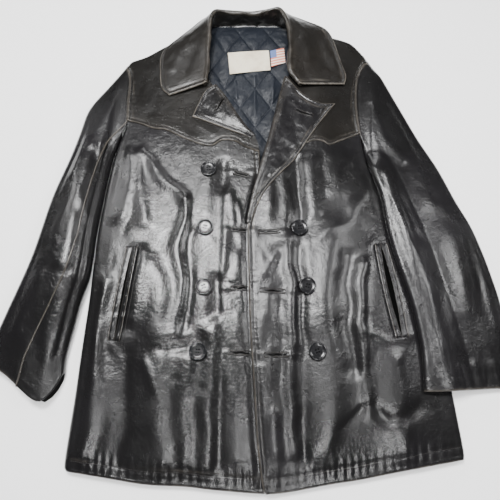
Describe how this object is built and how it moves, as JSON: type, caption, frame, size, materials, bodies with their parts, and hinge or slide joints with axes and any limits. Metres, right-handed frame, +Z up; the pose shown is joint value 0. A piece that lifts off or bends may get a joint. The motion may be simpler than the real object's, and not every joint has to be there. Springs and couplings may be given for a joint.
{
  "type": "leather coat",
  "caption": "Hip-length double-breasted black leather coat laid flat on its back, both lapels folded open, quilted lining and label showing.",
  "frame": {"origin": "under the middle of the laid coat, on the surface that its back lies on", "axes": "+Z up out of the surface, +Y from the hem towards the collar, +X towards the wearer's left side"},
  "size_m": [0.853, 0.9062, 0.0469],
  "materials": {
    "leather": "glossy worn black leather",
    "collar_leather": "worn black leather, brownish at its edges",
    "lining": "quilted dark nylon",
    "label": "bare cream woven label",
    "tag": "small striped woven tag",
    "button": "black moulded plastic"
  },
  "bodies": {
    "root": {"back": "leather", "front_r": "leather", "front_l": "leather", "yoke_r": "leather", "yoke_l": "leather", "sleeve_r_top": "leather", "sleeve_r_under": "leather", "sleeve_l_top": "leather", "sleeve_l_under": "leather", "lapel_r": "leather", "lapel_l": "leather", "pocket_r_inner_lip": "leather", "pocket_r_outer_lip": "leather", "pocket_l_inner_lip": "leather", "pocket_l_outer_lip": "leather", "collar": "collar_leather", "lining": "lining", "label": "label", "flag_tag": "tag", "button_r1": "button", "button_r2": "button", "button_r3": "button", "button_r4": "button", "button_l1": "button", "button_l2": "button", "button_l3": "button"}
  },
  "joints": []
}
